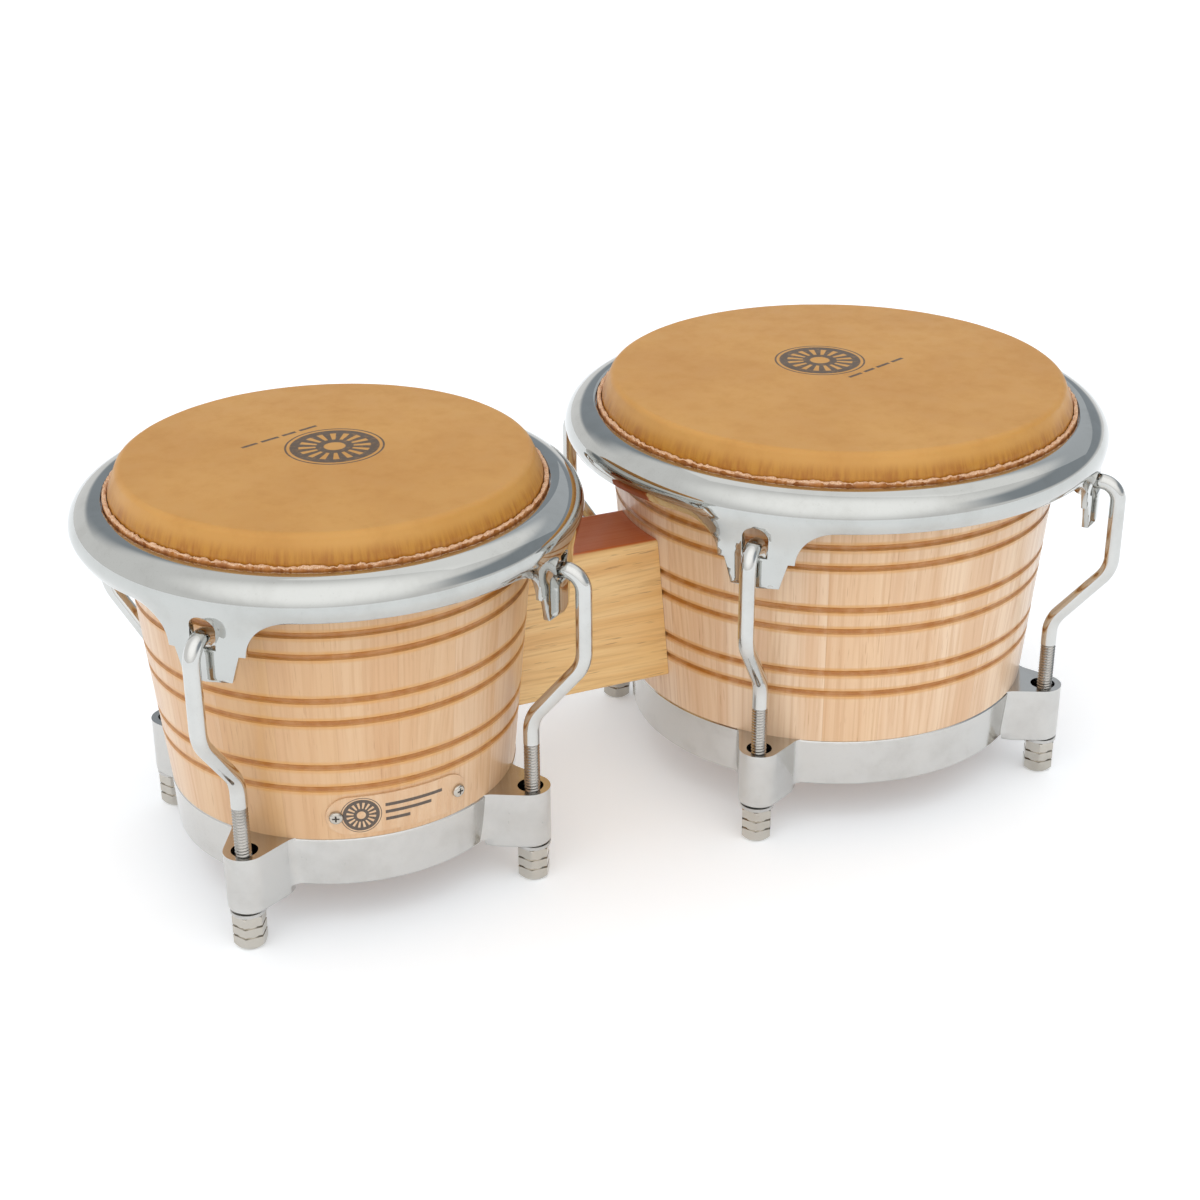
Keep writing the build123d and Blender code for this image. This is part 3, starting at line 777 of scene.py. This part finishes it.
def make_hook_group():
    """Sweeps a rod along its path, threads its lower end and sets one at each lug."""
    tree, given, out = new_group(
        "tuning hooks",
        [
            ("Path", GEOMETRY, None),
            ("Lug Radius", FLOAT, 0.09),
            ("Axis X", FLOAT, 0.0),
            ("Rod Radius", FLOAT, 0.0035),
            ("Core Radius", FLOAT, 0.003),
            ("Pitch", FLOAT, 0.0014),
            ("Rod End", FLOAT, 0.0035),
            ("Thread Length", FLOAT, 0.055),
            ("Material", "NodeSocketMaterial", None),
            ("Thread Material", "NodeSocketMaterial", None),
        ],
        [("Geometry", GEOMETRY)],
        "GeometryNodeTree",
    )
    rod_round = add(
        tree,
        "GeometryNodeCurvePrimitiveCircle",
        {"Resolution": 28, "Radius": given.outputs["Rod Radius"]},
    )
    path = add(tree, "GeometryNodeMeshToCurve", {0: given.outputs["Path"]})
    rod = swept(tree, path.outputs[0], rod_round.outputs[0])
    turns = calc(tree, "DIVIDE", given.outputs["Thread Length"], given.outputs["Pitch"])
    helix = add(
        tree,
        "GeometryNodeCurveSpiral",
        {
            "Resolution": 18,
            "Rotations": turns,
            "Start Radius": given.outputs["Core Radius"],
            "End Radius": given.outputs["Core Radius"],
            "Height": given.outputs["Thread Length"],
            "Reverse": True,
        },
    )
    upright = add(tree, "GeometryNodeSetCurveNormal", {"Curve": helix.outputs[0]}, mode="Z_UP")
    height = calc(tree, "SUBTRACT", given.outputs["Rod Radius"], given.outputs["Core Radius"])
    ridge = add(
        tree, "GeometryNodeCurvePrimitiveCircle", {"Resolution": 4, "Radius": height}
    )
    thread = swept(tree, upright.outputs[0], ridge.outputs[0])
    core = add(
        tree,
        "GeometryNodeMeshCylinder",
        {
            "Vertices": 28,
            "Radius": given.outputs["Core Radius"],
            "Depth": given.outputs["Thread Length"],
        },
    )
    half = calc(tree, "MULTIPLY", given.outputs["Thread Length"], 0.5)
    lower = joined(tree, shifted(tree, core.outputs[0], {"Z": half}), thread)
    threaded = add(
        tree,
        "GeometryNodeStoreNamedAttribute",
        {
            "Geometry": shifted(tree, lower, {"Z": given.outputs["Rod End"]}),
            "Name": "thread",
            "Value": True,
        },
        data_type="BOOLEAN",
        domain="FACE",
    )
    lugs = add(
        tree, "GeometryNodeMeshCircle", {"Vertices": 4, "Radius": given.outputs["Lug Radius"]}
    )
    turned = shifted(
        tree, lugs.outputs[0], {"X": given.outputs["Axis X"]}, Rotation=(0.0, 0.0, TURN / 8)
    )
    number = tree.nodes.new("GeometryNodeInputIndex").outputs[0]
    facing = calc(tree, "MULTIPLY_ADD", number, TURN / 4, TURN / 8)
    rotation = add(tree, "ShaderNodeCombineXYZ", {"Z": facing})
    placed = add(
        tree,
        "GeometryNodeInstanceOnPoints",
        {
            "Points": turned,
            "Instance": joined(tree, threaded.outputs[0], rod),
            "Rotation": rotation.outputs[0],
        },
    )
    single = add(tree, "GeometryNodeRealizeInstances", {"Geometry": placed.outputs[0]})
    is_thread = add(
        tree, "GeometryNodeInputNamedAttribute", {"Name": "thread"}, data_type="BOOLEAN"
    ).outputs["Attribute"]
    smooth = dressed(tree, single.outputs[0], given.outputs["Material"])
    whole = dressed(tree, smooth, given.outputs["Thread Material"], Selection=is_thread)
    tree.links.new(whole, out.inputs[0])
    return tree


def placed_object(name, data):
    made = bpy.data.objects.new(name, data)
    bpy.context.collection.objects.link(made)
    return made


def finished(name, mesh, sharp):
    """A piece of a plain mesh, shaded smooth but for edges past an angle in degrees."""
    mesh.name = name
    mesh.shade_smooth()
    mesh.set_sharp_from_angle(angle=math.radians(sharp))
    return placed_object(name, mesh)


def grow(name, points, group, values, closed=False):
    """A plain mesh object made by a node group from an outline of points in metres.

    Each point is x, y, z and, where the swept radius changes, its share of that radius.
    """
    outline = bpy.data.meshes.new(f"{name}_outline")
    edges = [(i, i + 1) for i in range(len(points) - 1)]
    if closed:
        edges.append((len(points) - 1, 0))
    outline.from_pydata([point[:3] for point in points], edges, [])
    widths = outline.attributes.new("radius", "FLOAT", "POINT")
    widths.data.foreach_set("value", [point[3] if len(point) > 3 else 1.0 for point in points])
    seed = placed_object(f"{name}_seed", outline)
    modifier = seed.modifiers.new("nodes", "NODES")
    modifier.node_group = group
    for item in group.interface.items_tree:
        if item.item_type == "SOCKET" and item.name in values:
            modifier[item.identifier] = values[item.name]
    seed.update_tag()
    seen = seed.evaluated_get(bpy.context.evaluated_depsgraph_get())
    mesh = bpy.data.meshes.new_from_object(seen)
    bpy.data.objects.remove(seed)
    bpy.data.meshes.remove(outline)
    work = bmesh.new()
    work.from_mesh(mesh)
    bmesh.ops.remove_doubles(work, verts=work.verts, dist=0.000002)
    bmesh.ops.recalc_face_normals(work, faces=work.faces)
    work.to_mesh(mesh)
    work.free()
    for slot in reversed(range(len(mesh.materials))):
        if mesh.materials[slot] is None:
            mesh.materials.pop(index=slot)
    return finished(name, mesh, 40.0)


def rounded(corners, radii, steps=10):
    """Points along a line of corners whose inner corners are rounded."""
    path = [Vector(corners[0])]
    for before, corner, after, radius in zip(corners, corners[1:], corners[2:], radii):
        corner = Vector(corner)
        back = (Vector(before) - corner).normalized()
        ahead = (Vector(after) - corner).normalized()
        half = back.angle(ahead) / 2
        centre = corner + (back + ahead).normalized() * (radius / math.sin(half))
        start = corner + back * (radius / math.tan(half)) - centre
        end = corner + ahead * (radius / math.tan(half)) - centre
        for step in range(steps + 1):
            path.append(centre + start.slerp(end, step / steps).normalized() * radius)
    path.append(Vector(corners[-1]))
    return path


turned_group = make_turned_group()
hook_group = make_hook_group()


def turn_outline(outline, radius):
    """Radius and height in millimetres as the flat points that the turned group sweeps."""
    return [((r - radius) * MM, -z * MM, 0.0) for r, z in outline]


def make_head(drum):
    """The rawhide: stretched flat, creased over the shell's edge and down its side."""
    top, edge = drum.head_top, drum.skin
    crease = edge - SKIN_LEAN
    outer = [
        (0.0, top + HEAD_CROWN),
        (crease * 0.5, top + HEAD_CROWN * 0.8),
        (crease - 12.0, top + HEAD_CROWN * 0.2),
    ]
    side = rounded(
        [(crease - 11.0, top), (crease - 0.2, top), (edge, SKIN_KNEE), (edge, drum.collar)],
        [3.6, 8.0],
    )
    under = rounded(
        [
            (crease - 11.0, top - SKIN_THICKNESS),
            (crease - 1.1, top - SKIN_THICKNESS),
            (edge - SKIN_THICKNESS, SKIN_KNEE - 0.3),
            (edge - SKIN_THICKNESS, drum.collar),
        ],
        [2.4, 6.4],
    )
    outline = outer + [tuple(p) for p in side] + [tuple(p) for p in reversed(under)]
    outline.append((0.0, top - SKIN_THICKNESS))
    head = grow(
        f"{drum.name}_head",
        turn_outline(outline, edge),
        turned_group,
        {
            "Radius": edge * MM,
            "Steps": 256,
            "Axis X": drum.axis * MM,
            "Level": 0.174,
            "Fade": 0.006,
            "Uneven": 0.0009,
            "Scale": 17.0,
            "Seed": 1.0 if drum is small else 4.0,
            "Material": hide[drum.name],
        },
    )
    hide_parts(f"{drum.name}_skin")
    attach(head, "drums")
    return head


def make_trimmed_edge(drum):
    """The hide's cut edge, standing up in a ragged ring between the head and the rim."""
    inner = drum.skin + LIP_INNER
    outer = inner + LIP_WIDTH
    outline = [
        (inner, LIP_BOTTOM),
        (outer, LIP_BOTTOM),
        (outer, LIP_BOTTOM + 1.4),
        (outer - 0.1, LIP_TOP - 0.5),
        (outer - 0.45, LIP_TOP - 0.1),
        (outer - 1.0, LIP_TOP),
        (inner + 0.5, LIP_TOP - 0.1),
        (inner + 0.1, LIP_TOP - 0.5),
    ]
    lip = grow(
        f"{drum.name}_trimmed_edge",
        turn_outline(outline, inner),
        turned_group,
        {
            "Radius": inner * MM,
            "Steps": 720,
            "Axis X": drum.axis * MM,
            "Level": (LIP_BOTTOM + 1.0) * MM,
            "Fade": 0.002,
            "Uneven": 0.0044,
            "Scale": 400.0,
            "Seed": 2.0 if drum is small else 7.0,
            "Material": trimmed_hide,
        },
        closed=True,
    )
    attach(lip, f"{drum.name}_rim_set")
    return lip


def make_hooks(drum):
    """The four threaded rods whose hooked tops hold the rim's tabs."""
    bent = rounded(
        [
            (0.0, THREAD_TOP - 0.5),
            (0.0, BEND_LOW),
            (HOOK_OFFSET, BEND_HIGH),
            (HOOK_OFFSET, HOOK_CENTRE),
        ],
        [BEND_RADIUS, BEND_RADIUS],
    )
    path = [(p.x * MM, 0.0, p.y * MM, 1.0) for p in bent]
    centre = HOOK_OFFSET - HOOK_RADIUS
    ends = {HOOK_SWEEP - 2: 1.0, HOOK_SWEEP - 1: 0.96, HOOK_SWEEP: 0.86}
    turns = list(range(6, HOOK_SWEEP - 5, 6)) + list(ends)
    for turn in turns:
        angle = math.radians(turn)
        x = centre + HOOK_RADIUS * math.cos(angle)
        z = HOOK_CENTRE + HOOK_RADIUS * math.sin(angle)
        path.append((x * MM, 0.0, z * MM, ends.get(turn, 1.0)))
    path[0] = (0.0, 0.0, (THREAD_TOP - 0.5) * MM, 0.88)
    path.insert(1, (0.0, 0.0, THREAD_TOP * MM, 1.0))
    hooks = grow(
        f"{drum.name}_tuning_hooks",
        path,
        hook_group,
        {
            "Lug Radius": drum.lug * MM,
            "Axis X": drum.axis * MM,
            "Rod Radius": ROD_RADIUS * MM,
            "Core Radius": CORE_RADIUS * MM,
            "Pitch": THREAD_PITCH * MM,
            "Rod End": ROD_END * MM,
            "Thread Length": (THREAD_TOP - ROD_END) * MM,
            "Material": hook_chrome,
            "Thread Material": thread_steel,
        },
    )
    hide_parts(*(f"{drum.name}_tuning_hook_{number}" for number in range(1, 5)))
    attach(hooks, f"{drum.name}_rim_set")
    return hooks


# ---- the pressed rims ------------------------------------------------------
def ease(value, low, high):
    """0 below low, 1 above high, and a smooth step between them."""
    share = min(max((value - low) / (high - low), 0.0), 1.0)
    return share * share * (3 - 2 * share)


def arc_points(centre, radius, start, end, steps):
    """Points of a circle's arc, its ends included, between two angles in degrees."""
    turns = [math.radians(start + (end - start) * i / steps) for i in range(steps + 1)]
    return [
        (centre[0] + radius * math.cos(t), centre[1] + radius * math.sin(t)) for t in turns
    ]


def inside(point, outline):
    """Whether a flat point lies inside a closed outline."""
    x, y = point
    crossings = 0
    for (x1, y1), (x2, y2) in zip(outline, outline[1:] + outline[:1]):
        if (y1 > y) != (y2 > y) and x < x1 + (y - y1) * (x2 - x1) / (y2 - y1):
            crossings += 1
    return crossings % 2 == 1


def room(point, outline):
    """Distance from a flat point to a closed outline."""
    nearest = 1000.0
    here = Vector(point)
    for first, second in zip(outline, outline[1:] + outline[:1]):
        foot, share = intersect_point_line(here, Vector(first), Vector(second))
        if share < 0.0:
            foot = Vector(first)
        elif share > 1.0:
            foot = Vector(second)
        nearest = min(nearest, (here - foot.to_2d()).length)
    return nearest


def rim_sector(drum):
    """Flat points and triangles of one quarter of the wall, its tab and its slot.

    Across is the arc length round the wall from the tab's middle, up is the height.
    """
    wall = drum.skin + WALL_REACH
    half_arc = wall * math.pi / 4
    side = list(TAB_SIDE) + arc_points(NOTCH_CENTRE, NOTCH_RADIUS, 178, 90, 18)
    side = [(wall * math.asin(x / wall), z) for x, z in side]
    across = [-half_arc + 2 * half_arc * i / RIM_COLUMNS for i in range(RIM_COLUMNS + 1)]
    skirt = [(x, SKIRT_BOTTOM) for x in across if x > side[-1][0] + 1.0]
    right = side + skirt
    left = [(-x, z) for x, z in reversed(right[1:])]
    top = [(x, RIM_EQUATOR) for x in reversed(across)]
    outline = left + right + top
    slot = [(-SLOT_HALF, SLOT_FLOOR), (SLOT_HALF, SLOT_FLOOR)]
    slot += arc_points((0.0, SLOT_TOP - SLOT_HALF), SLOT_HALF, 0, 180, 18)
    points = outline + slot
    edges = [(i, (i + 1) % len(outline)) for i in range(len(outline))]
    first = len(outline)
    edges += [(first + i, first + (i + 1) % len(slot)) for i in range(len(slot))]
    row = TAB_SIDE[0][1] + SHEET_GRID
    while row < RIM_EQUATOR - SHEET_MARGIN:
        for x in across[1:-1]:
            here = (x, row)
            if inside(here, outline) and not inside(here, slot):
                if min(room(here, outline), room(here, slot)) > SHEET_MARGIN:
                    points.append(here)
        row += SHEET_GRID
    mesh = delaunay_2d_cdt([Vector(p) for p in points], edges, [], 0, 0.0001)
    flat = [tuple(p) for p in mesh[0]]
    faces = []
    for face in mesh[2]:
        middle = (sum(flat[i][0] for i in face) / 3, sum(flat[i][1] for i in face) / 3)
        if inside(middle, outline) and not inside(middle, slot):
            faces.append(face)
    return flat, faces


def make_rim(drum):
    """The pressed rim: a rolled top, a soft turn into the wall, and four slotted tabs."""
    wall = drum.skin + WALL_REACH
    flat, triangles = rim_sector(drum)
    work = bmesh.new()

    def place(radius, angle, height):
        return work.verts.new(
            (
                (drum.axis + radius * math.cos(angle)) * MM,
                radius * math.sin(angle) * MM,
                height * MM,
            )
        )

    for quarter in range(4):
        lug = TURN / 8 + TURN / 4 * quarter
        verts = []
        for across, height in flat:
            bulge = 1 - ease(abs(across), *SADDLE_HALF)
            bulge *= 1 - ease(height, SLOT_FLOOR, SLOT_FLOOR + SADDLE_FADE)
            on_tab = 1 - ease(abs(across), *TAB_BLEND)
            bottom = WALL_BOTTOM - TAB_DROP * on_tab
            reach = (RIM_REACH - WALL_REACH) * ease(height, bottom, RIM_EQUATOR)
            radius = wall + reach + SADDLE_RISE * bulge
            verts.append(place(radius, lug + across / wall, height))
        for face in triangles:
            work.faces.new([verts[i] for i in face])
    start = drum.skin + RIM_GAP + RIM_FLAT
    wide = drum.skin + RIM_REACH - start
    rise = RIM_TOP - RIM_EQUATOR
    turns = [math.pi / 2 * i / 16 for i in range(17)]
    roll = [(start + wide * math.cos(t), RIM_EQUATOR + rise * math.sin(t)) for t in turns]
    roll += [(start - RIM_FLAT / 2, RIM_TOP - 0.05), (start - RIM_FLAT, RIM_TOP - 0.25)]
    angles = [TURN * i / (4 * RIM_COLUMNS) for i in range(4 * RIM_COLUMNS)]
    rows = [[place(radius, angle, height) for angle in angles] for radius, height in roll]
    for lower, upper in zip(rows, rows[1:]):
        for i in range(len(lower)):
            j = (i + 1) % len(lower)
            work.faces.new([lower[i], lower[j], upper[j], upper[i]])
    bmesh.ops.remove_doubles(work, verts=work.verts, dist=0.00001)
    bmesh.ops.recalc_face_normals(work, faces=work.faces)
    mesh = bpy.data.meshes.new(f"{drum.name}_pressed_rim_sheet")
    work.to_mesh(mesh)
    work.free()
    sheet = placed_object(f"{drum.name}_pressed_rim_sheet", mesh)
    thick = sheet.modifiers.new("thickness", "SOLIDIFY")
    thick.thickness = RIM_SHEET * MM
    thick.offset = -1.0
    thick.use_even_offset = True
    soft = sheet.modifiers.new("edges", "BEVEL")
    soft.width = 0.5 * MM
    soft.segments = 2
    soft.angle_limit = math.radians(50)
    seen = sheet.evaluated_get(bpy.context.evaluated_depsgraph_get())
    solid = bpy.data.meshes.new_from_object(seen)
    bpy.data.objects.remove(sheet)
    bpy.data.meshes.remove(mesh)
    solid.materials.clear()
    solid.materials.append(rim_chrome)
    rim = finished(f"{drum.name}_pressed_rim", solid, 55.0)
    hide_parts(f"{drum.name}_rim")
    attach(rim, f"{drum.name}_rim_set")
    return rim


for drum in drums:
    make_rim(drum)
    head = make_head(drum)
    lip = make_trimmed_edge(drum)
    make_hooks(drum)


# ---- floor, light and camera -----------------------------------------------
def make_floor():
    """A wide pale floor under the feet."""
    mesh = bpy.data.meshes.new("floor")
    corners = [(x * FLOOR_HALF, y * FLOOR_HALF, 0) for x, y in ((-1, -1), (1, -1), (1, 1), (-1, 1))]
    mesh.from_pydata(corners, [], [(0, 1, 2, 3)])
    floor = placed_object("floor", mesh)
    material, tree, shader, place = new_material("floor_paint")
    tone = grain_noise(tree, place, 2.0, 2.0)
    colour = blend_colour(tree, tone, (0.90, 0.93, 0.96, 1.0), (0.92, 0.95, 0.98, 1.0))
    give(
        tree,
        shader,
        Base_Color=colour,
        Roughness=0.7,
        Emission_Color=(1.0, 1.0, 1.0, 1.0),
        Emission_Strength=0.24,
    )
    mesh.materials.append(material)


def make_fill_lamp(place, target):
    """A broad, weak lamp behind and above the large drum, aimed at a point."""
    lamp = bpy.data.lights.new("fill", "AREA")
    lamp.size = 2.4
    lamp.energy = 4.0
    holder = placed_object("fill", lamp)
    holder.location = place
    holder.rotation_euler = (target - Vector(place)).to_track_quat("-Z", "Y").to_euler()


def make_sky():
    """A white studio with a blue-grey wall band behind and a soft key glow in front."""
    world = bpy.data.worlds.new("studio")
    bpy.context.scene.world = world
    world.use_nodes = True
    tree = world.node_tree
    around = tree.nodes.new("ShaderNodeTexCoord").outputs["Generated"]
    parts = add(tree, "ShaderNodeSeparateXYZ", {0: around})
    height = parts.outputs[2]
    band = calc(
        tree,
        "MULTIPLY",
        span(tree, calc(tree, "MULTIPLY_ADD", parts.outputs[0], 0.25, height), 0.26, 0.36),
        span(tree, height, 0.52, 0.70, 1.0, 0.0),
    )
    across = calc(tree, "MULTIPLY", parts.outputs[0], 0.9)
    sideways = calc(tree, "MULTIPLY_ADD", parts.outputs[1], 0.45, across)
    behind = span(tree, sideways, -0.1, 0.4)
    colour = blend_colour(
        tree, calc(tree, "MULTIPLY", band, behind), (1.0, 1.0, 1.0, 1.0), (0.38, 0.42, 0.46, 1.0)
    )
    towards_key = add(
        tree,
        "ShaderNodeVectorMath",
        {0: around, 1: Vector((-0.25, -0.55, 0.8)).normalized()},
        operation="DOT_PRODUCT",
    ).outputs["Value"]
    back = tree.nodes["Background"]
    tree.links.new(colour, back.inputs[0])
    tree.links.new(span(tree, towards_key, 0.50, 0.98, 0.88, 1.4), back.inputs[1])


def make_camera():
    lens = bpy.data.cameras.new("camera")
    lens.sensor_width = 36.0
    lens.lens = 63.16
    lens.clip_start, lens.clip_end = 0.05, 50.0
    camera = placed_object("camera", lens)
    turn, tip, roll = (math.radians(a) for a in (23.90, -25.30, -0.28))
    ahead = Vector(
        (math.sin(turn) * math.cos(tip), math.cos(turn) * math.cos(tip), math.sin(tip))
    )
    right = ahead.cross(Vector((0, 0, 1))).normalized()
    up = right.cross(ahead)
    rolled_right = right * math.cos(roll) + up * math.sin(roll)
    rolled_up = up * math.cos(roll) - right * math.sin(roll)
    basis = Matrix((rolled_right, rolled_up, -ahead)).transposed().to_4x4()
    camera.matrix_world = Matrix.Translation((-0.36464, -0.80949, 0.51387)) @ basis
    bpy.context.scene.camera = camera


bpy.context.scene.view_settings.view_transform = "Standard"
make_floor()
make_sky()
make_camera()
make_fill_lamp((1.3, 0.9, 1.8), (cad_low + cad_high) / 2)
